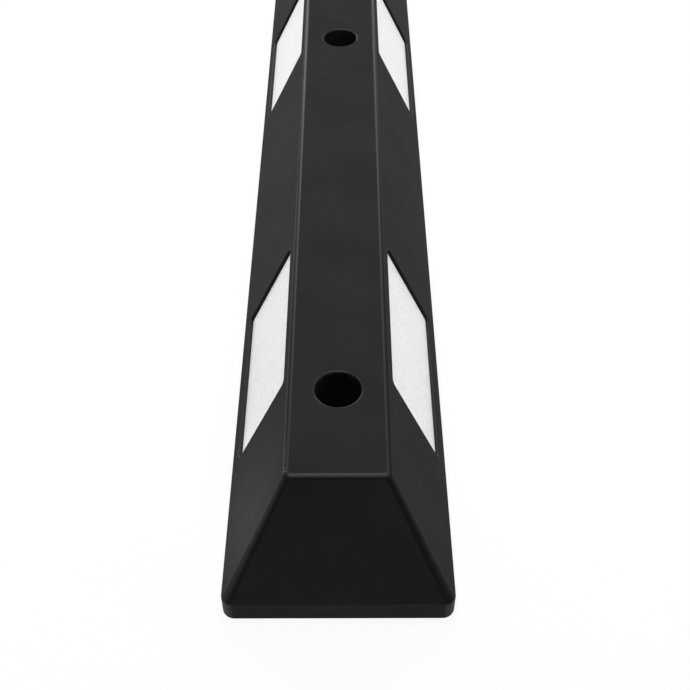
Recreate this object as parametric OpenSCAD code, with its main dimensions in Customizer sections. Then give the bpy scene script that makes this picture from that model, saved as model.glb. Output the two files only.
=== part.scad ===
// Rubber wheel stop with white reflective sheets let into its long slopes.
// Millimetres. The origin is on the ground in the middle of the underside, the length runs
// along Y and Z points up. The near end, at -Y, is the one that sheets and holes count from.

/* [Body] */
// Length over the foot
stop_l = 1650; // [1500:10:2000]
// Width over the foot
stop_w = 150; // [135:1:180]
// Height above the ground
stop_h = 90; // [80:1:110]
// Height of the upright foot below the slopes
foot_h = 16.5; // [8:0.5:22]
// Width of the flat top, measured between its sharp corners
top_w = 66; // [56:1:80]
// How far each end slope leans in over its height
end_run = 46; // [25:0.5:60]
// Plan radius of the foot's corners
foot_corner_r = 8; // [5:0.5:14]
// Rounding of the top's edges
top_edge_r = 5; // [2:0.5:8]

/* [Fixing holes] */
// Distance from each end to its outer hole
hole_end = 118; // [100:1:150]
// Distance from an outer hole to the inner hole next to it
hole_pitch = 451; // [380:1:520]
// Diameter of the recess that takes the bolt's head
head_d = 30; // [24:0.5:36]
// Depth of that recess below the top
head_depth = 45; // [30:1:55]
// Diameter of the hole for the bolt's shank
shank_d = 16; // [10:0.5:20]
// Rounding of the recess's rim
rim_r = 2; // [0.5:0.5:4]

/* [Reflective sheets] */
// Length of a sheet along the stop
sheet_l = 138; // [100:0.5:180]
// Height of a sheet, measured up the slope
sheet_w = 65; // [50:1:68]
// Thickness of a sheet
sheet_t = 0.4; // [0.3:0.1:1]
// Lean of a sheet's ends away from square, in degrees
sheet_skew = 16.5; // [0:0.5:25]
// Radius of a sheet's corners
sheet_corner_r = 3; // [1:0.5:6]
// Distance from each end of the stop to the middle of its first sheet
sheet_end = 191; // [170:0.5:230]
// Distance from the foot's top edge up the slope to a sheet
sheet_low = 10; // [7:0.5:12]
// Depth of a sheet's face below the slope
sheet_recess = 2.5; // [1:0.1:4]
// Gap between a sheet and its pocket's wall
sheet_gap = 0.9; // [0.3:0.1:2]

/* [Hollows in the underside] */
// Width of a hollow
core_w = 72; // [40:1:80]
// Longest that a hollow gets
core_l_max = 105; // [60:1:130]
// Depth of a hollow
core_depth = 45; // [20:1:50]
// Thickness of the ribs between hollows
rib_t = 10; // [6:1:20]
// Corner radius of a hollow
core_corner_r = 6; // [2:1:12]
// Solid rubber kept from a fixing hole's axis to the nearest hollow
core_hole_gap = 32; // [24:1:45]

/* [Hidden] */
sheets_a_side = 4;
slope_run = (stop_w - top_w) / 2;
slope_rise = stop_h - foot_h;
side_angle = atan2(slope_rise, slope_run);
end_angle = atan2(slope_rise, end_run);
outer_hole_y = stop_l / 2 - hole_end;
inner_hole_y = outer_hole_y - hole_pitch;
sheet_pitch = (stop_l - 2 * sheet_end) / (sheets_a_side - 1);
pocket_depth = sheet_recess + sheet_t;
// Overrun of a cutting tool past the face that it cuts
over = 5;
// The blended outer form is built from short straight lines, the fixing holes from true curves
blend_fn = 32;
round_fn = 96;
// Straight steps in the rounded corner of a sheet, pocket or hollow
arc_steps = 6;

// Middle of sheet i along the stop, counted from the near end
function sheet_y(i) = -stop_l / 2 + sheet_end + (i - 1) * sheet_pitch;

// Heading of a line, in degrees
function heading(line) = atan2(line.y, line.x);

// Points on the arc round a corner, from one outward heading on through a turn to the left
function corner_arc(centre, r, from, turn) =
    [for (k = [0:arc_steps]) let (a = from + turn * k / arc_steps) centre + r * [cos(a), sin(a)]];

// Flat shape with rounded corners, given the middles of its corner arcs anticlockwise
module rounded(centres, r) {
    n = len(centres);
    headings = [for (i = [0:n - 1]) heading(centres[(i + 1) % n] - centres[i])];
    polygon([for (i = [0:n - 1])
        for (point = corner_arc(centres[i], r, headings[(i + n - 1) % n] - 90,
                                (headings[i] - headings[(i + n - 1) % n] + 360) % 360))
            point]);
}

// Outline of a sheet on its slope, grown by a margin: x along the stop, y up the slope
module sheet_outline(margin) {
    up = sheet_w / 2 - sheet_corner_r;
    along = sheet_l / 2 - sheet_corner_r / cos(sheet_skew);
    lean = up * tan(sheet_skew);
    translate([0, sheet_low + sheet_w / 2])
        rounded([[-along - lean, -up], [along - lean, -up], [along + lean, up], [-along + lean, up]],
                sheet_corner_r + margin);
}

// Lays a flat shape on a long slope, from a depth below the slope's face up to another height
module on_slope(side, y, from, to)
    mirror([side < 0 ? 1 : 0, 0, 0])
        translate([stop_w / 2, y, foot_h]) rotate([0, side_angle, 0]) rotate([0, 0, 90])
            translate([0, 0, from]) linear_extrude(height = to - from) children();

// The ball is set by its flat cap, so that the top keeps its full height
module top_corner(x, y)
    translate([x * (top_w / 2 - top_edge_r * tan(side_angle / 2)),
               y * (stop_l / 2 - end_run - top_edge_r * tan(end_angle / 2)),
               stop_h - top_edge_r * cos(180 / blend_fn)])
        sphere(top_edge_r, $fn = blend_fn);

module foot_corner(x, y)
    translate([x * (stop_w / 2 - foot_corner_r), y * (stop_l / 2 - foot_corner_r), 0])
        cylinder(foot_h, r = foot_corner_r, $fn = blend_fn);

module outer_form()
    hull() for (x = [-1, 1], y = [-1, 1]) {
        top_corner(x, y);
        foot_corner(x, y);
    }

// Stepped hole: head recess from the top with a rounded rim, then the shank's hole
module fixing_hole(y) translate([0, y, 0]) {
    translate([0, 0, -over]) cylinder(stop_h, d = shank_d, $fn = round_fn);
    translate([0, 0, stop_h - head_depth]) cylinder(head_depth + over, d = head_d, $fn = round_fn);
    translate([0, 0, stop_h - rim_r]) rotate_extrude($fn = round_fn) difference() {
        square([head_d / 2 + rim_r, rim_r + over]);
        translate([head_d / 2 + rim_r, 0]) circle(rim_r, $fn = round_fn);
    }
}

module hollow(y_from, y_to) {
    x = core_w / 2 - core_corner_r;
    y = (y_to - y_from) / 2 - core_corner_r;
    translate([0, (y_from + y_to) / 2, -over]) linear_extrude(height = core_depth + over)
        rounded([[-x, -y], [x, -y], [x, y], [-x, y]], core_corner_r);
}

// Row of equal hollows with ribs between them
module hollow_row(y_from, y_to) {
    count = ceil((y_to - y_from + rib_t) / (core_l_max + rib_t));
    pitch = (y_to - y_from + rib_t) / count;
    for (i = [0:count - 1]) hollow(y_from + i * pitch, y_from + (i + 1) * pitch - rib_t);
}

module hollows()
    for (half = [0, 1]) mirror([0, half, 0]) {
        hollow_row(rib_t / 2, inner_hole_y - core_hole_gap);
        hollow_row(inner_hole_y + core_hole_gap, outer_hole_y - core_hole_gap);
    }

module rubber_body() color([0.1, 0.1, 0.1]) difference() {
    outer_form();
    for (y = [-outer_hole_y, -inner_hole_y, inner_hole_y, outer_hole_y]) fixing_hole(y);
    for (side = [-1, 1], i = [1:sheets_a_side])
        on_slope(side, sheet_y(i), -pocket_depth, over) sheet_outline(sheet_gap);
    hollows();
}

module sheet(side, i) color([0.93, 0.93, 0.92])
    on_slope(side, sheet_y(i), -pocket_depth, -sheet_recess) sheet_outline(0);

rubber_body();
sheet(-1, 1);  // sheet_left_1
sheet(-1, 2);  // sheet_left_2
sheet(-1, 3);  // sheet_left_3
sheet(-1, 4);  // sheet_left_4
sheet(1, 1);  // sheet_right_1
sheet(1, 2);  // sheet_right_2
sheet(1, 3);  // sheet_right_3
sheet(1, 4);  // sheet_right_4
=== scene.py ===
# Looks for a rubber wheel stop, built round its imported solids. Metres, in the solids' own frame.
import math

import bmesh
import bpy
from mathutils import Matrix, Vector


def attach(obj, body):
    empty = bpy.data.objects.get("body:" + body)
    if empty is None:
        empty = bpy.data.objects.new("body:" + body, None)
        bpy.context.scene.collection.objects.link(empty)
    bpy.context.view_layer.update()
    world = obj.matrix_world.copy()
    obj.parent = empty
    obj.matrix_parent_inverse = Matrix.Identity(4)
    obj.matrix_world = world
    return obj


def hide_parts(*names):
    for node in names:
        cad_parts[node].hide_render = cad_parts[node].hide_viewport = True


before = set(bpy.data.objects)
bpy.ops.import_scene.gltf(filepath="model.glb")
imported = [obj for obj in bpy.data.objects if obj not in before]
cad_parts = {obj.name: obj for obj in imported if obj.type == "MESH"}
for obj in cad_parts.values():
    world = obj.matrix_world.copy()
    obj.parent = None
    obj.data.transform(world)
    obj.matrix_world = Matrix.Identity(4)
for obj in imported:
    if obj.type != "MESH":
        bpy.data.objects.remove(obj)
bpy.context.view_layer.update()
print("solids loaded:", ", ".join(sorted(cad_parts)))


def deselectAll():
    if bpy.context.mode != "OBJECT":
        bpy.ops.object.mode_set(mode="OBJECT")
    bpy.ops.object.select_all(action="DESELECT")


def makeActive(obj):
    deselectAll()
    obj.select_set(True)
    bpy.context.view_layer.objects.active = obj


def editMesh(obj):
    makeActive(obj)
    bpy.ops.object.mode_set(mode="EDIT")


def pick(obj, kind, test):  # selects the vertices, edges or faces that pass the test, and says how many
    bpy.ops.mesh.select_mode(type=kind)
    bpy.ops.mesh.select_all(action="DESELECT")
    mesh = bmesh.from_edit_mesh(obj.data)
    parts = {"VERT": mesh.verts, "EDGE": mesh.edges, "FACE": mesh.faces}[kind]
    found = [part for part in parts if test(part)]
    for part in found:
        part.select_set(True)
    bmesh.update_edit_mesh(obj.data)
    return len(found)


closeEnough = 0.00002        # how near a vertex must lie to the place that it is looked for
acrossFace = 0.99            # a face lies across a direction when its normal follows it by at least this
alongFace = 0.1              # and along it by at most this


def edgeAtHeight(z):  # a level edge
    return lambda edge: all(abs(vert.co.z - z) < closeEnough for vert in edge.verts)


def ringAtHeight(z, radius, y):  # a level edge on a circle about a fixing hole's axis
    def test(edge):
        return edgeAtHeight(z)(edge) and all(
            abs(math.hypot(vert.co.x, vert.co.y - y) - radius) < hole["ringBand"] for vert in edge.verts)
    return test


def roundEdges(offset, segments):
    bpy.ops.mesh.bevel(offset=offset, segments=segments, affect="EDGES", loop_slide=False)


def extrudeBy(vector):
    bpy.ops.mesh.extrude_region_move(TRANSFORM_OT_translate={"value": vector})


def applyModifier(obj, kind, **settings):
    makeActive(obj)
    modifier = obj.modifiers.new(kind.title(), kind)
    for key, value in settings.items():
        setattr(modifier, key, value)
    bpy.ops.object.modifier_apply(modifier=modifier.name)


block = {
    "length": 1.650,
    "width": 0.150,
    "height": 0.090,
    "footHeight": 0.0165,
    "topWidth": 0.066,
    "endRun": 0.046,
    "footCorner": 0.008,
    "topCorner": 0.0042,
    "cornerSegments": 10,
    "topEdge": 0.005,        # radius of the top's edges
    "topSegments": 8,
    "footEdge": 0.003,       # radius where the slopes meet the foot
    "footSegments": 4,
    "groundEdge": 0.001,
    "groundSegments": 3,
    "smoothAngle": 50,       # degrees
}
slopeRun = (block["width"] - block["topWidth"]) / 2
slopeRise = block["height"] - block["footHeight"]
slopeLength = math.hypot(slopeRun, slopeRise)
slopeTilt = math.atan2(slopeRise, slopeRun)


def makeBlock():
    deselectAll()
    bpy.ops.mesh.primitive_plane_add(size=1)
    obj = bpy.context.object
    obj.name = "rubberBlock"
    bpy.ops.object.mode_set(mode="EDIT")
    bpy.ops.transform.resize(value=(block["width"], block["length"], 1))
    bpy.ops.mesh.bevel(offset=block["footCorner"], segments=block["cornerSegments"], affect="VERTICES")
    bpy.ops.mesh.select_all(action="SELECT")
    extrudeBy((0, 0, block["footHeight"]))
    extrudeBy((0, 0, slopeRise))
    footX = block["width"] / 2 - block["footCorner"]
    footY = block["length"] / 2 - block["footCorner"]
    topX = block["topWidth"] / 2 - block["topCorner"]
    topY = block["length"] / 2 - block["endRun"] - block["topCorner"]
    shrink = block["topCorner"] / block["footCorner"]
    for x in (-1, 1):
        for y in (-1, 1):
            pick(obj, "VERT", lambda v: v.co.z > block["height"] - closeEnough
                 and v.co.x * x > 0 and v.co.y * y > 0)
            bpy.ops.transform.resize(value=(shrink, shrink, 1),
                                     center_override=(x * footX, y * footY, block["height"]))
            bpy.ops.transform.translate(value=(x * (topX - footX), y * (topY - footY), 0))
    pick(obj, "EDGE", edgeAtHeight(block["height"]))
    roundEdges(block["topEdge"] * math.tan(slopeTilt / 2), block["topSegments"])
    pick(obj, "EDGE", edgeAtHeight(block["footHeight"]))
    roundEdges(block["footEdge"] * math.tan((math.pi / 2 - slopeTilt) / 2), block["footSegments"])
    pick(obj, "EDGE", edgeAtHeight(0))
    roundEdges(block["groundEdge"], block["groundSegments"])
    bpy.ops.object.mode_set(mode="OBJECT")
    return obj


sheet = {
    "length": 0.138,
    "width": 0.065,
    "thickness": 0.0004,
    "skew": math.radians(16.5),
    "corner": 0.003,
    "cornerSegments": 8,
    "endDistance": 0.191,    # from the end of the stop to the middle of its first sheet
    "low": 0.010,            # up the slope from the foot
    "recess": 0.0025,
    "edge": 0.00012,
    "edgeSegments": 2,
    "count": 4,              # along each slope
    "smoothAngle": 40,       # degrees
}
pocket = {
    "gap": 0.0009,           # between a sheet and its pocket's wall
    "lip": 0.0013,
    "lipSegments": 4,
    "floorEdge": 0.0006,
    "floorSegments": 3,
}
sheetPitch = (block["length"] - 2 * sheet["endDistance"]) / (sheet["count"] - 1)


def sheetY(i):
    return -block["length"] / 2 + sheet["endDistance"] + (i - 1) * sheetPitch


def slopePlace(side, y):  # x runs along the stop, y up the slope, z out of it
    along = Vector((0, side, 0))
    up = Vector((-side * slopeRun, 0, slopeRise)) / slopeLength
    out = Vector((side * slopeRise, 0, slopeRun)) / slopeLength
    place = Matrix((along, up, out)).transposed().to_4x4()
    place.translation = Vector((side * block["width"] / 2, y, block["footHeight"]))
    return place


def slantedPlate(name, side, margin, low, high):  # a sheet's outline grown by a margin, from low to high
    halfWidth = sheet["width"] / 2 + margin
    halfLength = sheet["length"] / 2 + margin / math.cos(sheet["skew"])
    lean = side * halfWidth * math.tan(sheet["skew"])
    middle = sheet["low"] + sheet["width"] / 2
    radius = sheet["corner"] + margin
    deselectAll()
    bpy.ops.mesh.primitive_plane_add(size=1)
    obj = bpy.context.object
    obj.name = name
    bpy.ops.object.mode_set(mode="EDIT")
    bpy.ops.transform.resize(value=(2 * halfLength, 2 * halfWidth, 1))
    pick(obj, "VERT", lambda v: v.co.y > 0)
    bpy.ops.transform.translate(value=(lean, 0, 0))
    pick(obj, "VERT", lambda v: v.co.y < 0)
    bpy.ops.transform.translate(value=(-lean, 0, 0))
    for half, sign in ((math.pi / 4 - sheet["skew"] / 2, 1), (math.pi / 4 + sheet["skew"] / 2, -1)):
        pick(obj, "VERT", lambda v: v.co.x * v.co.y * sign * side > 0
             and abs(abs(v.co.y) - halfWidth) < closeEnough
             and abs(abs(v.co.x) - halfLength - sign * abs(lean)) < closeEnough)
        bpy.ops.mesh.bevel(offset=radius / math.tan(half), segments=sheet["cornerSegments"],
                           affect="VERTICES")
    bpy.ops.mesh.select_all(action="SELECT")
    bpy.ops.transform.translate(value=(0, middle, low))
    extrudeBy((0, 0, high - low))
    bpy.ops.mesh.select_all(action="SELECT")
    bpy.ops.mesh.normals_make_consistent(inside=False)
    bpy.ops.object.mode_set(mode="OBJECT")
    return obj


def layOnSlope(obj, side, i):
    obj.matrix_world = slopePlace(side, sheetY(i))
    makeActive(obj)
    bpy.ops.object.transform_apply(location=True, rotation=True, scale=True)


hole = {
    "endDistance": 0.118,
    "pitch": 0.451,
    "headRadius": 0.015,
    "headDepth": 0.045,
    "shankRadius": 0.008,
    "rim": 0.002,            # rounding at the top
    "rimSegments": 6,
    "innerEdge": 0.0008,     # rounding at the shoulder and the bottom
    "innerSegments": 3,
    "sides": 72,
    "ringBand": 0.001,       # how far from its circle an edge of the hole may lie and still be found
}
hollow = {
    "width": 0.072,
    "longest": 0.105,
    "depth": 0.045,
    "rib": 0.010,
    "corner": 0.006,
    "cornerSegments": 8,
    "holeGap": 0.032,        # from a fixing hole's axis to the nearest hollow
    "draft": 0.0015,
    "roofEdge": 0.004,
    "roofSegments": 5,
    "mouthEdge": 0.0008,
    "mouthSegments": 2,
}
overrun = 0.005              # how far a cutter passes the face that it cuts
outerHoleY = block["length"] / 2 - hole["endDistance"]
innerHoleY = outerHoleY - hole["pitch"]
holeYs = [-outerHoleY, -innerHoleY, innerHoleY, outerHoleY]


def makeHoleCutter(y):
    shoulder = block["height"] - hole["headDepth"]
    deselectAll()
    bpy.ops.mesh.primitive_cylinder_add(vertices=hole["sides"], radius=hole["shankRadius"],
                                        depth=shoulder + overrun, location=(0, y, (shoulder - overrun) / 2))
    obj = bpy.context.object
    bpy.ops.object.transform_apply(location=True)
    bpy.ops.object.mode_set(mode="EDIT")
    pick(obj, "FACE", lambda f: f.normal.z > acrossFace)
    extrudeBy((0, 0, 0))
    widen = hole["headRadius"] / hole["shankRadius"]
    bpy.ops.transform.resize(value=(widen, widen, 1), center_override=(0, y, shoulder))
    extrudeBy((0, 0, hole["headDepth"] + overrun))
    bpy.ops.object.mode_set(mode="OBJECT")
    return obj


def makeHollowCutter(yFrom, yTo):
    deselectAll()
    bpy.ops.mesh.primitive_plane_add(size=1)
    obj = bpy.context.object
    bpy.ops.object.mode_set(mode="EDIT")
    length = yTo - yFrom
    bpy.ops.transform.resize(value=(hollow["width"], length, 1))
    bpy.ops.mesh.bevel(offset=hollow["corner"], segments=hollow["cornerSegments"], affect="VERTICES")
    bpy.ops.mesh.select_all(action="SELECT")
    bpy.ops.transform.translate(value=(0, (yFrom + yTo) / 2, -overrun))
    extrudeBy((0, 0, hollow["depth"] + overrun))
    draft = 2 * hollow["draft"]
    bpy.ops.transform.resize(value=(1 - draft / hollow["width"], 1 - draft / length, 1))
    pick(obj, "EDGE", edgeAtHeight(hollow["depth"]))
    roundEdges(hollow["roofEdge"], hollow["roofSegments"])
    bpy.ops.mesh.select_all(action="SELECT")
    bpy.ops.mesh.normals_make_consistent(inside=False)
    bpy.ops.object.mode_set(mode="OBJECT")
    return obj


def hollowSpans():
    spans = []
    for start, stop in ((hollow["rib"] / 2, innerHoleY - hollow["holeGap"]),
                        (innerHoleY + hollow["holeGap"], outerHoleY - hollow["holeGap"])):
        count = math.ceil((stop - start + hollow["rib"]) / (hollow["longest"] + hollow["rib"]))
        step = (stop - start + hollow["rib"]) / count
        spans += [(start + k * step, start + (k + 1) * step - hollow["rib"]) for k in range(count)]
    return spans + [(-b, -a) for a, b in spans]


def cutAll(obj):
    cutters = [makeHoleCutter(y) for y in holeYs]
    cutters += [makeHollowCutter(a, b) for a, b in hollowSpans()]
    for side in (-1, 1):
        for i in range(1, sheet["count"] + 1):
            cutter = slantedPlate("pocketCutter", side, pocket["gap"],
                                  -sheet["recess"] - sheet["thickness"], overrun)
            layOnSlope(cutter, side, i)
            cutters.append(cutter)
    deselectAll()
    for cutter in cutters:
        cutter.select_set(True)
    bpy.context.view_layer.objects.active = cutters[0]
    bpy.ops.object.join()
    tool = bpy.context.object
    applyModifier(obj, "BOOLEAN", operation="DIFFERENCE", solver="EXACT", object=tool)
    makeActive(tool)
    bpy.ops.object.delete()


def pocketEdge(side, depth):  # an edge round a pocket, at a depth below the slope
    place = slopePlace(side, 0)
    out, start = place.col[2].to_3d(), place.translation

    def test(edge):
        if len(edge.link_faces) != 2:
            return False
        if any(abs((v.co - start).dot(out) + depth) > closeEnough for v in edge.verts):
            return False
        flat, wall = sorted((abs(face.normal.dot(out)) for face in edge.link_faces), reverse=True)
        return flat > acrossFace and wall < alongFace
    return test


def insideMouth(edge):  # an edge on the ground, round a hollow
    if not edgeAtHeight(0)(edge) or min(abs(face.normal.z) for face in edge.link_faces) > alongFace:
        return False
    return all(abs(v.co.x) < hollow["width"] / 2 + closeEnough
               and min(abs(v.co.y - y) for y in holeYs) > hollow["holeGap"] - closeEnough for v in edge.verts)


def softenCuts(obj):
    editMesh(obj)
    found = []
    for side in (-1, 1):
        found.append(pick(obj, "EDGE", pocketEdge(side, 0)))
        roundEdges(pocket["lip"], pocket["lipSegments"])
        found.append(pick(obj, "EDGE", pocketEdge(side, sheet["recess"] + sheet["thickness"])))
        roundEdges(pocket["floorEdge"], pocket["floorSegments"])
    shoulder = block["height"] - hole["headDepth"]
    for y in holeYs:
        found.append(pick(obj, "EDGE", ringAtHeight(block["height"], hole["headRadius"], y)))
        roundEdges(hole["rim"], hole["rimSegments"])
        for z, radius in ((shoulder, hole["headRadius"]), (shoulder, hole["shankRadius"]),
                          (0, hole["shankRadius"])):
            found.append(pick(obj, "EDGE", ringAtHeight(z, radius, y)))
            roundEdges(hole["innerEdge"], hole["innerSegments"])
    found.append(pick(obj, "EDGE", insideMouth))
    roundEdges(hollow["mouthEdge"], hollow["mouthSegments"])
    bpy.ops.object.mode_set(mode="OBJECT")
    print("cut edges rounded:", found)


def smoothShade(obj, angle):
    makeActive(obj)
    bpy.ops.object.shade_smooth_by_angle(angle=math.radians(angle))
    applyModifier(obj, "WEIGHTED_NORMAL", mode="FACE_AREA", weight=60, keep_sharp=True)


rubberBlock = makeBlock()
cutAll(rubberBlock)
softenCuts(rubberBlock)
smoothShade(rubberBlock, block["smoothAngle"])
print("rubber block:", len(rubberBlock.data.polygons), "faces")


def makeSheets(side):
    word = "Left" if side < 0 else "Right"
    first = slantedPlate("reflectiveSheet" + word + "1", side, 0.0,
                         -sheet["recess"] - sheet["thickness"], -sheet["recess"])
    editMesh(first)
    pick(first, "EDGE", edgeAtHeight(-sheet["recess"]))
    roundEdges(sheet["edge"], sheet["edgeSegments"])
    layOnSlope(first, side, 1)
    smoothShade(first, sheet["smoothAngle"])
    made = [first]
    for i in range(2, sheet["count"] + 1):
        makeActive(first)
        bpy.ops.object.duplicate(linked=False)
        copy = bpy.context.object
        copy.name = "reflectiveSheet" + word + str(i)
        bpy.ops.transform.translate(value=(0, (i - 1) * sheetPitch, 0))
        bpy.ops.object.transform_apply(location=True)
        made.append(copy)
    return made


leftSheets, rightSheets = makeSheets(-1), makeSheets(1)
print("sheets:", ", ".join(s.name for s in leftSheets + rightSheets))


def addNode(tree, kind, **settings):
    node = tree.nodes.new("ShaderNode" + kind)
    for key, value in settings.items():
        setattr(node, key, value)
    return node


def newGroup(name, inputs, outputs):
    tree = bpy.data.node_groups.new(name, "ShaderNodeTree")
    for label, value in inputs:
        kind = "NodeSocketVector" if value is None else "NodeSocketFloat"
        socket = tree.interface.new_socket(label, in_out="INPUT", socket_type=kind)
        if value is not None:
            socket.default_value = value
    for label in outputs:
        tree.interface.new_socket(label, in_out="OUTPUT", socket_type="NodeSocketFloat")
    return tree, tree.nodes.new("NodeGroupInput"), tree.nodes.new("NodeGroupOutput")


def useGroup(tree, group, vector, values):
    node = addNode(tree, "Group", node_tree=group)
    tree.links.new(vector, node.inputs["Vector"])
    for key, value in values.items():
        node.inputs[key].default_value = value
    return node


def calc(tree, operation, a, b):
    node = addNode(tree, "Math", operation=operation)
    for socket, value in zip(node.inputs, (a, b)):
        if isinstance(value, (int, float)):
            socket.default_value = value
        else:
            tree.links.new(value, socket)
    return node.outputs[0]


def remap(tree, value, fromLow, fromHigh, toLow, toHigh):
    node = addNode(tree, "MapRange", clamp=True, interpolation_type="SMOOTHSTEP")
    tree.links.new(value, node.inputs["Value"])
    numbers = {"From Min": fromLow, "From Max": fromHigh, "To Min": toLow, "To Max": toHigh}
    for label, number in numbers.items():
        node.inputs[label].default_value = number
    return node.outputs["Result"]


def mottleGroup():  # broad soft patches, and a finer cloud inside them
    empty, full = 0.3, 0.7   # the noise's values that a patch begins and is full at
    tree, start, end = newGroup("softMottle", [("Vector", None), ("Patch Size", 0.05), ("Cloud Size", 0.01)],
                                ["Patches", "Clouds"])
    for label, size, detail in (("Patches", "Patch Size", 3), ("Clouds", "Cloud Size", 4)):
        noise = addNode(tree, "TexNoise")
        noise.inputs["Detail"].default_value = detail
        tree.links.new(start.outputs["Vector"], noise.inputs["Vector"])
        tree.links.new(calc(tree, "DIVIDE", 1.0, start.outputs[size]), noise.inputs["Scale"])
        tree.links.new(remap(tree, noise.outputs["Fac"], empty, full, 0, 1), end.inputs[label])
    return tree


def grainGroup():  # the fine skin of a moulding, with scattered pits
    bottom, brim = 0.04, 0.14  # a pit's radii, as shares of the pit spacing
    inputs = [("Vector", None), ("Grain Size", 0.0006), ("Pit Spacing", 0.006), ("Pit Share", 0.2)]
    tree, start, end = newGroup("mouldedGrain", inputs, ["Grain", "Pits"])
    grain = addNode(tree, "TexNoise")
    grain.inputs["Detail"].default_value = 2
    tree.links.new(start.outputs["Vector"], grain.inputs["Vector"])
    tree.links.new(calc(tree, "DIVIDE", 1.0, start.outputs["Grain Size"]), grain.inputs["Scale"])
    tree.links.new(grain.outputs["Fac"], end.inputs["Grain"])
    cells = addNode(tree, "TexVoronoi", feature="F1")
    tree.links.new(start.outputs["Vector"], cells.inputs["Vector"])
    tree.links.new(calc(tree, "DIVIDE", 1.0, start.outputs["Pit Spacing"]), cells.inputs["Scale"])
    chosen = addNode(tree, "SeparateColor")
    tree.links.new(cells.outputs["Color"], chosen.inputs[0])
    spot = remap(tree, cells.outputs["Distance"], bottom, brim, 1, 0)
    picked = calc(tree, "LESS_THAN", chosen.outputs["Red"], start.outputs["Pit Share"])
    tree.links.new(calc(tree, "MULTIPLY", spot, picked), end.inputs["Pits"])
    return tree


def beadGroup():  # close-set glass beads, each with its own tone
    tree, start, end = newGroup("beadField", [("Vector", None), ("Bead Size", 0.0005)], ["Height", "Tone"])
    cells = addNode(tree, "TexVoronoi", feature="F1")
    tree.links.new(start.outputs["Vector"], cells.inputs["Vector"])
    tree.links.new(calc(tree, "DIVIDE", 1.0, start.outputs["Bead Size"]), cells.inputs["Scale"])
    fall = calc(tree, "MULTIPLY", cells.outputs["Distance"], cells.outputs["Distance"])
    tree.links.new(calc(tree, "SUBTRACT", 1.0, fall), end.inputs["Height"])
    tone = addNode(tree, "SeparateColor")
    tree.links.new(cells.outputs["Color"], tone.inputs[0])
    tree.links.new(tone.outputs["Green"], end.inputs["Tone"])
    return tree


mottle, grain, beads = mottleGroup(), grainGroup(), beadGroup()
print("node groups:", mottle.name, grain.name, beads.name)


def newMaterial(name):
    material = bpy.data.materials.new(name)
    material.use_nodes = True
    tree = material.node_tree
    shader = next(node for node in tree.nodes if node.type == "BSDF_PRINCIPLED")
    place = addNode(tree, "TexCoord").outputs["Object"]
    return material, tree, shader, place


def mixColour(tree, factor, low, high):
    node = addNode(tree, "Mix", data_type="RGBA")
    tree.links.new(factor, node.inputs[0])
    for socket, value in ((node.inputs[6], low), (node.inputs[7], high)):
        if isinstance(value, tuple):
            socket.default_value = (*value, 1)
        else:
            tree.links.new(value, socket)
    return node.outputs[2]


def addBump(tree, height, distance, strength, normal=None):
    node = addNode(tree, "Bump")
    node.inputs["Distance"].default_value = distance
    node.inputs["Strength"].default_value = strength
    tree.links.new(height, node.inputs["Height"])
    if normal is not None:
        tree.links.new(normal, node.inputs["Normal"])
    return node.outputs["Normal"]


rubber = {
    "deep": (0.0110, 0.0110, 0.0113),
    "worn": (0.0158, 0.0158, 0.0161),
    "cloudTone": (0.0140, 0.0140, 0.0143),
    "cloudShare": 0.5,
    "pitTone": (0.009, 0.009, 0.009),
    "roughLow": 0.675,
    "roughHigh": 0.705,
    "specular": 0.08,
    "paintedHighlightTone": (0.022, 0.022, 0.0223),   # painted highlight: a rounded edge where it looks up
    "paintedShadeTone": (0.0065, 0.0065, 0.0067),  # painted shade: the rest of a rounded edge
    "edgeRough": 0.42,
    "edgeGloss": 0.13,
    "glossRough": 0.40,
    "edgeTurn": (3, 10),     # degrees away from the nearest flat face at which an edge begins and is full
    "edgeRise": (0.02, 0.15),  # how far a face looks up for its edge to begin and be full
    "highlightRise": (0.84, 0.93),  # the same for the painted highlight
    "footShare": 0.55,       # how much of all this, the edge polish and gloss and the painted shade, the foot's upright corners get
    "patchSize": 0.045,
    "cloudSize": 0.006,
    "grainSize": 0.0007,
    "pitSpacing": 0.007,
    "pitShare": 0.25,
    "grainHeight": 0.000024,
    "waveHeight": 0.000005,
    "waveStrength": 0.5,
    "pitDepth": 0.0001,
}


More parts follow.
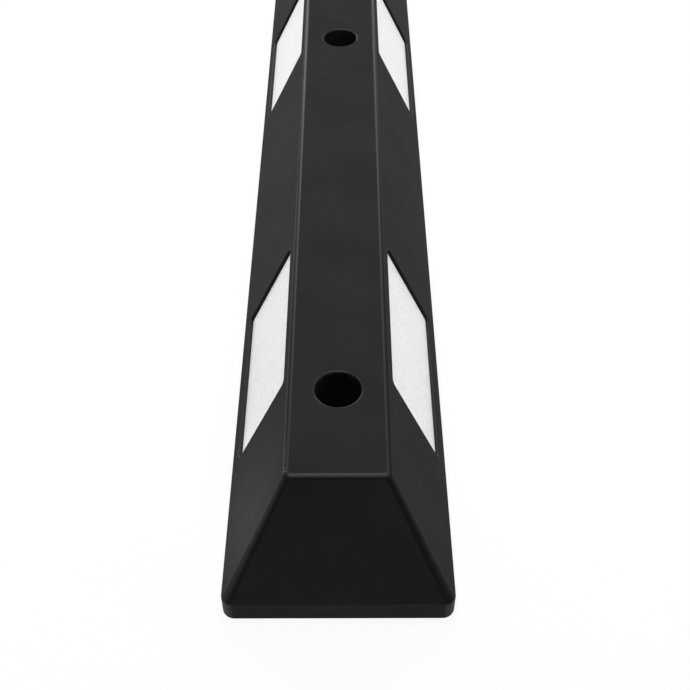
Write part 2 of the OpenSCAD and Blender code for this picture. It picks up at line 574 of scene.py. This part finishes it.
def roundedEdges(tree, place):  # where one flat face turns into the next, and where the surface looks up; these place the painted shade and the painted highlight on rounded edges
    normal = addNode(tree, "NewGeometry").outputs["Normal"]
    size = addNode(tree, "VectorMath", operation="ABSOLUTE")
    tree.links.new(normal, size.inputs[0])
    endLength = math.hypot(block["endRun"], slopeRise)
    flats = ((0, 0, 1), (1, 0, 0), (0, 1, 0), (slopeRise / slopeLength, 0, slopeRun / slopeLength),
             (0, slopeRise / endLength, block["endRun"] / endLength))
    nearest = None
    for direction in flats:
        dot = addNode(tree, "VectorMath", operation="DOT_PRODUCT")
        tree.links.new(size.outputs[0], dot.inputs[0])
        dot.inputs[1].default_value = direction
        value = dot.outputs["Value"]
        nearest = value if nearest is None else calc(tree, "MAXIMUM", nearest, value)
    begins, full = (math.cos(math.radians(angle)) for angle in rubber["edgeTurn"])
    turning = remap(tree, nearest, full, begins, 1, 0)
    parts = addNode(tree, "SeparateXYZ")
    tree.links.new(normal, parts.inputs[0])
    rising = parts.outputs["Z"]
    spot = addNode(tree, "SeparateXYZ")
    tree.links.new(place, spot.inputs[0])
    fromMiddle = calc(tree, "ABSOLUTE", spot.outputs["X"], 0)
    holeEdge = hole["headRadius"] + hole["rim"]
    aside = calc(tree, "GREATER_THAN", fromMiddle, holeEdge)  # leaves the holes' walls out
    upright = calc(tree, "MULTIPLY", aside, rubber["footShare"])
    outside = calc(tree, "MAXIMUM", upright, remap(tree, rising, *rubber["edgeRise"], 0, 1))
    return calc(tree, "MULTIPLY", turning, outside), remap(tree, rising, *rubber["highlightRise"], 0, 1)


def makeRubber():
    material, tree, shader, place = newMaterial("blackRubber")
    patches = useGroup(tree, mottle, place, {"Patch Size": rubber["patchSize"],
                                             "Cloud Size": rubber["cloudSize"]})
    skin = useGroup(tree, grain, place, {"Grain Size": rubber["grainSize"],
                                         "Pit Spacing": rubber["pitSpacing"],
                                         "Pit Share": rubber["pitShare"]})
    tone = mixColour(tree, patches.outputs["Patches"], rubber["deep"], rubber["worn"])
    cloud = calc(tree, "MULTIPLY", patches.outputs["Clouds"], rubber["cloudShare"])
    tone = mixColour(tree, cloud, tone, rubber["cloudTone"])
    tone = mixColour(tree, skin.outputs["Pits"], tone, rubber["pitTone"])
    edges, highlightSide = roundedEdges(tree, place)
    # painted highlight on the upward part of rounded edges, painted shade on the rest of them
    tone = mixColour(tree, edges, tone, mixColour(tree, highlightSide, rubber["paintedShadeTone"], rubber["paintedHighlightTone"]))
    tree.links.new(tone, shader.inputs["Base Color"])
    rough = remap(tree, patches.outputs["Clouds"], 0, 1, rubber["roughLow"], rubber["roughHigh"])
    polish = calc(tree, "MULTIPLY", edges, calc(tree, "SUBTRACT", rough, rubber["edgeRough"]))
    tree.links.new(calc(tree, "SUBTRACT", rough, polish), shader.inputs["Roughness"])
    shader.inputs["Specular IOR Level"].default_value = rubber["specular"]
    tree.links.new(calc(tree, "MULTIPLY", edges, rubber["edgeGloss"]), shader.inputs["Coat Weight"])
    shader.inputs["Coat Roughness"].default_value = rubber["glossRough"]
    normal = addBump(tree, patches.outputs["Clouds"], rubber["waveHeight"], rubber["waveStrength"])
    normal = addBump(tree, skin.outputs["Grain"], rubber["grainHeight"], 1.0, normal)
    pitHeight = calc(tree, "SUBTRACT", 1.0, skin.outputs["Pits"])
    normal = addBump(tree, pitHeight, rubber["pitDepth"], 1.0, normal)
    tree.links.new(normal, shader.inputs["Normal"])
    return material


film = {
    "bright": (0.95, 0.95, 0.945),
    "dull": (0.77, 0.77, 0.765),
    "roughness": 0.38,
    "specular": 0.45,
    "beadSize": 0.0008,
    "beadHeight": 0.00004,
    "patchSize": 0.03,
    "cloudSize": 0.004,
    "beadShare": 0.75,       # of the tone's variation, the rest comes from the clouds
}


def makeFilm():
    material, tree, shader, place = newMaterial("whiteReflective")
    field = useGroup(tree, beads, place, {"Bead Size": film["beadSize"]})
    patches = useGroup(tree, mottle, place, {"Patch Size": film["patchSize"],
                                             "Cloud Size": film["cloudSize"]})
    blend = calc(tree, "ADD", calc(tree, "MULTIPLY", field.outputs["Tone"], film["beadShare"]),
                 calc(tree, "MULTIPLY", patches.outputs["Clouds"], 1 - film["beadShare"]))
    tree.links.new(mixColour(tree, blend, film["dull"], film["bright"]), shader.inputs["Base Color"])
    shader.inputs["Roughness"].default_value = film["roughness"]
    shader.inputs["Specular IOR Level"].default_value = film["specular"]
    tree.links.new(addBump(tree, field.outputs["Height"], film["beadHeight"], 1.0), shader.inputs["Normal"])
    return material


def dress(obj, material):
    obj.data.materials.clear()
    obj.data.materials.append(material)


blackRubber, whiteReflective = makeRubber(), makeFilm()
dress(rubberBlock, blackRubber)
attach(rubberBlock, "root")
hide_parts("rubber_body")
for word, row in (("left", leftSheets), ("right", rightSheets)):
    for i, obj in enumerate(row, 1):
        dress(obj, whiteReflective)
        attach(obj, "root")
        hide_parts("sheet_" + word + "_" + str(i))
print("materials:", blackRubber.name, whiteReflective.name)


studio = {
    "floorSize": 60.0,
    "floorColour": (0.9, 0.9, 0.9),
    "floorRoughness": 0.9,
    "shadowShare": 0.10,     # how much of the floor's picture comes from real shading
    "worldLevel": 0.02,
    "beamRadius": 0.03,
    "beamBlend": 1.0,
    "skyTone": 0.905,        # what the camera sees past the floor, level with the floor's far part
}
lamps = {                    # place, aim, size and power
    "lowSoftbox": ((-0.55, -0.20, 0.06), (0, -0.70, 0.03), (0.5, 0.08), 0.42),
    "hipSoftbox": ((-0.62, -0.97, 0.16), (-0.055, -0.80, 0.05), (0.30, 0.16), 0.45),
    "rightSoftbox": ((1.30, -0.65, 0.85), (0, -0.45, 0.05), (1.0, 1.8), 5.6),
    "overSoftbox": ((0, -0.66, 1.6), (0, -0.66, 0), (0.7, 1.4), 19.5),
    "backSoftbox": ((0, 0.30, 1.10), (0, -0.65, 0.08), (0.6, 0.6), 5.5),
    "leftStripSoftbox": ((-0.72, 1.26, 0.92), (0, -0.35, 0.09), (0.25, 1.5), 12),
    "rightStripSoftbox": ((0.72, 1.26, 0.92), (0, -0.35, 0.09), (0.25, 1.5), 8),
}
beams = {                    # place, aim, cone in degrees and power
    "slopeBeam": ((-0.47, -0.29, 0.09), (-0.064, -0.785, 0.045), 11, 10.5),
    "hipBeam": ((-0.60, -0.60, 0.12), (-0.064, -0.785, 0.045), 10, 4.6),
}


def makeFloor():
    deselectAll()
    bpy.ops.mesh.primitive_plane_add(size=studio["floorSize"])
    floor = bpy.context.object
    floor.name = "studioFloor"
    material, tree, shader, place = newMaterial("paleFloor")
    shader.inputs["Base Color"].default_value = (*studio["floorColour"], 1)
    shader.inputs["Roughness"].default_value = studio["floorRoughness"]
    shader.inputs["Specular IOR Level"].default_value = 0.0
    white = addNode(tree, "Emission")
    path = addNode(tree, "LightPath")
    seen = calc(tree, "MAXIMUM", path.outputs["Is Camera Ray"], path.outputs["Is Glossy Ray"])
    seen = calc(tree, "MAXIMUM", seen, path.outputs["Is Transmission Ray"])
    across = addNode(tree, "VectorMath", operation="ABSOLUTE")
    tree.links.new(place, across.inputs[0])
    parts = addNode(tree, "SeparateXYZ")
    tree.links.new(across.outputs[0], parts.inputs[0])
    inset = block["groundEdge"] + block["footCorner"]
    beside = calc(tree, "GREATER_THAN", parts.outputs["X"], block["width"] / 2 - inset)
    beyond = calc(tree, "GREATER_THAN", parts.outputs["Y"], block["length"] / 2 - inset)
    clear = calc(tree, "MAXIMUM", beside, beyond)  # the floor under the stop, seen down its holes, stays dark
    share = calc(tree, "MULTIPLY", calc(tree, "MULTIPLY", seen, clear), 1 - studio["shadowShare"])
    mix = addNode(tree, "MixShader")
    tree.links.new(share, mix.inputs[0])
    tree.links.new(shader.outputs[0], mix.inputs[1])
    tree.links.new(white.outputs[0], mix.inputs[2])
    output = next(node for node in tree.nodes if node.type == "OUTPUT_MATERIAL")
    tree.links.new(mix.outputs[0], output.inputs["Surface"])
    floor.data.materials.append(material)


def makeWorld():
    world = bpy.data.worlds.new("studioWorld")
    bpy.context.scene.world = world
    world.use_nodes = True
    tree = world.node_tree
    light = next(node for node in tree.nodes if node.type == "BACKGROUND")
    light.inputs["Strength"].default_value = studio["worldLevel"]
    light.inputs["Color"].default_value = (1, 1, 1, 1)
    white = addNode(tree, "Background")
    white.inputs["Color"].default_value = (1, 1, 1, 1)
    white.inputs["Strength"].default_value = studio["skyTone"]
    path = addNode(tree, "LightPath")
    mix = addNode(tree, "MixShader")
    tree.links.new(path.outputs["Is Camera Ray"], mix.inputs[0])
    tree.links.new(light.outputs[0], mix.inputs[1])
    tree.links.new(white.outputs[0], mix.inputs[2])
    output = next(node for node in tree.nodes if node.type == "OUTPUT_WORLD")
    tree.links.new(mix.outputs[0], output.inputs["Surface"])


def addLamp(name, kind, place, aim, power):
    deselectAll()
    bpy.ops.object.light_add(type=kind, location=place)
    lamp = bpy.context.object
    lamp.name = name
    lamp.data.energy = power
    lamp.rotation_euler = (Vector(aim) - Vector(place)).to_track_quat("-Z", "Y").to_euler()
    return lamp


def softbox(name, place, aim, size, power):
    lamp = addLamp(name, "AREA", place, aim, power)
    lamp.data.shape = "RECTANGLE"
    lamp.data.size, lamp.data.size_y = size


def narrowBeam(name, place, aim, cone, power):
    lamp = addLamp(name, "SPOT", place, aim, power)
    lamp.data.spot_size = math.radians(cone)
    lamp.data.spot_blend = studio["beamBlend"]
    lamp.data.shadow_soft_size = studio["beamRadius"]


view = {                     # the photograph's camera, with its turn in degrees and its lens in mm
    "place": (0.00668, -1.18203, 0.61730),
    "turn": (44.3575, 0.2408, -0.0156),
    "lens": 56.003,
    "sensor": 36,
    "near": 0.02,
    "far": 100,
}


def makeCamera():
    deselectAll()
    turn = [math.radians(angle) for angle in view["turn"]]
    bpy.ops.object.camera_add(location=view["place"], rotation=turn)
    camera = bpy.context.object
    camera.data.lens = view["lens"]
    camera.data.sensor_width = view["sensor"]
    camera.data.clip_start, camera.data.clip_end = view["near"], view["far"]
    bpy.context.scene.camera = camera


makeFloor()
makeWorld()
for name, lamp in lamps.items():
    softbox(name, *lamp)
for name, beam in beams.items():
    narrowBeam(name, *beam)
makeCamera()
bpy.context.scene.view_settings.view_transform = "Standard"
print("studio ready")
